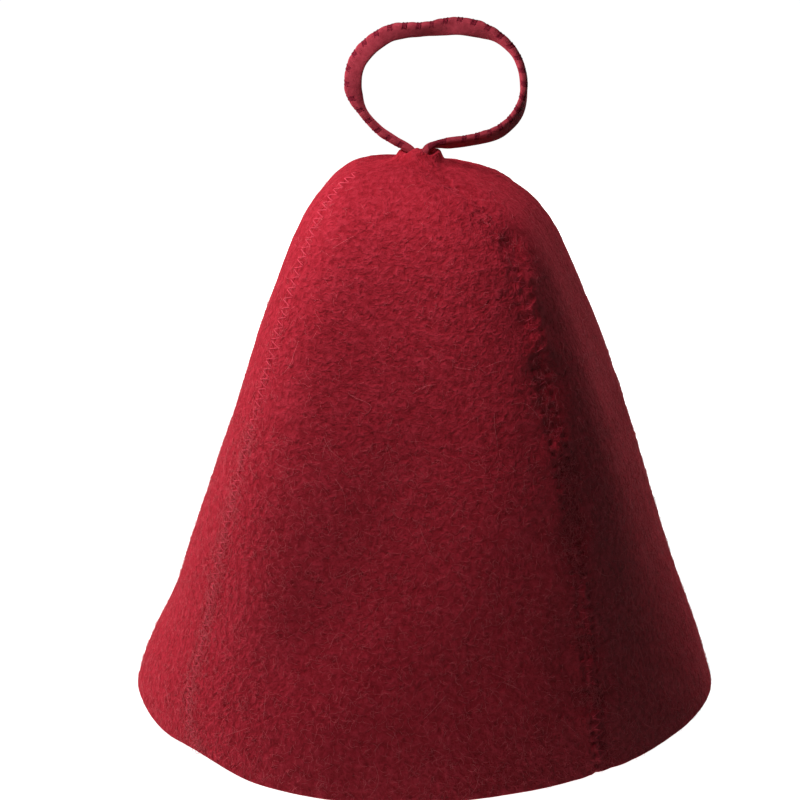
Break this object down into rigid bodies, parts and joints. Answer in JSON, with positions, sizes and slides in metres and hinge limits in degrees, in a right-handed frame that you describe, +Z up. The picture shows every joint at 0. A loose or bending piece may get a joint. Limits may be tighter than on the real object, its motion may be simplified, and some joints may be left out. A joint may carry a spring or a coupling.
{
  "type": "sauna hat",
  "caption": "Tall bell-shaped felt hat sewn from gores, open below, with a narrow felt hanging loop at its tip.",
  "frame": {"origin": "middle of the hat's footprint on the surface that its rim stands on", "axes": "+Z up from the rim to the tip and the hanging loop; -Y to the front, with the wide front gore; +X to the hat's right as it is looked at from the front"},
  "size_m": [0.2412, 0.2424, 0.2779],
  "materials": {
    "felt": "matted wool felt, dull, with a pale halo of fine fibres",
    "loop_felt": "the same wool felt, folded and pressed flatter",
    "thread": "dull spun sewing thread in the felt's colour"
  },
  "bodies": {
    "root": {"gore_front": "felt", "gore_right": "felt", "gore_back": "felt", "gore_left": "felt", "hanging_loop": "loop_felt"}
  },
  "joints": []
}
